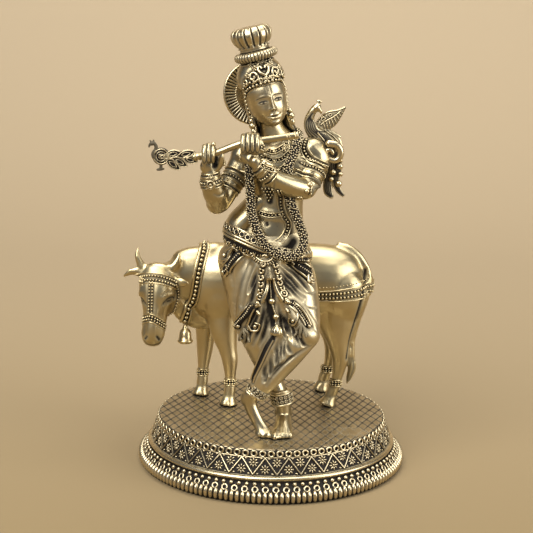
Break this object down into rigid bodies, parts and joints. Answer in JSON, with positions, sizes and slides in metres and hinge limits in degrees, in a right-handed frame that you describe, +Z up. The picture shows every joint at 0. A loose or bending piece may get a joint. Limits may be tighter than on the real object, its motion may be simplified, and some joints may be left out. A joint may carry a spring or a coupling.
{
  "type": "krishna figure",
  "caption": "Cast brass figure playing a flute in front of a cow, with a crown, halo and garland, on a round stepped plinth.",
  "frame": {"origin": "centre of the plinth's flat underside", "axes": "+Z up, the figure's front faces -Y, and the cow's head is at -X"},
  "size_m": [0.1083, 0.1016, 0.1655],
  "materials": {
    "plinth_brass": "antiqued brass, dark in the pattern and rubbed bright on the beads",
    "cow_brass": "polished brass, dark in the bead rows",
    "figure_brass": "antiqued brass, dark in the carving and rubbed bright on the high places"
  },
  "bodies": {
    "root": {"plinth": "plinth_brass", "cow": "cow_brass", "krishna": "figure_brass"}
  },
  "joints": []
}
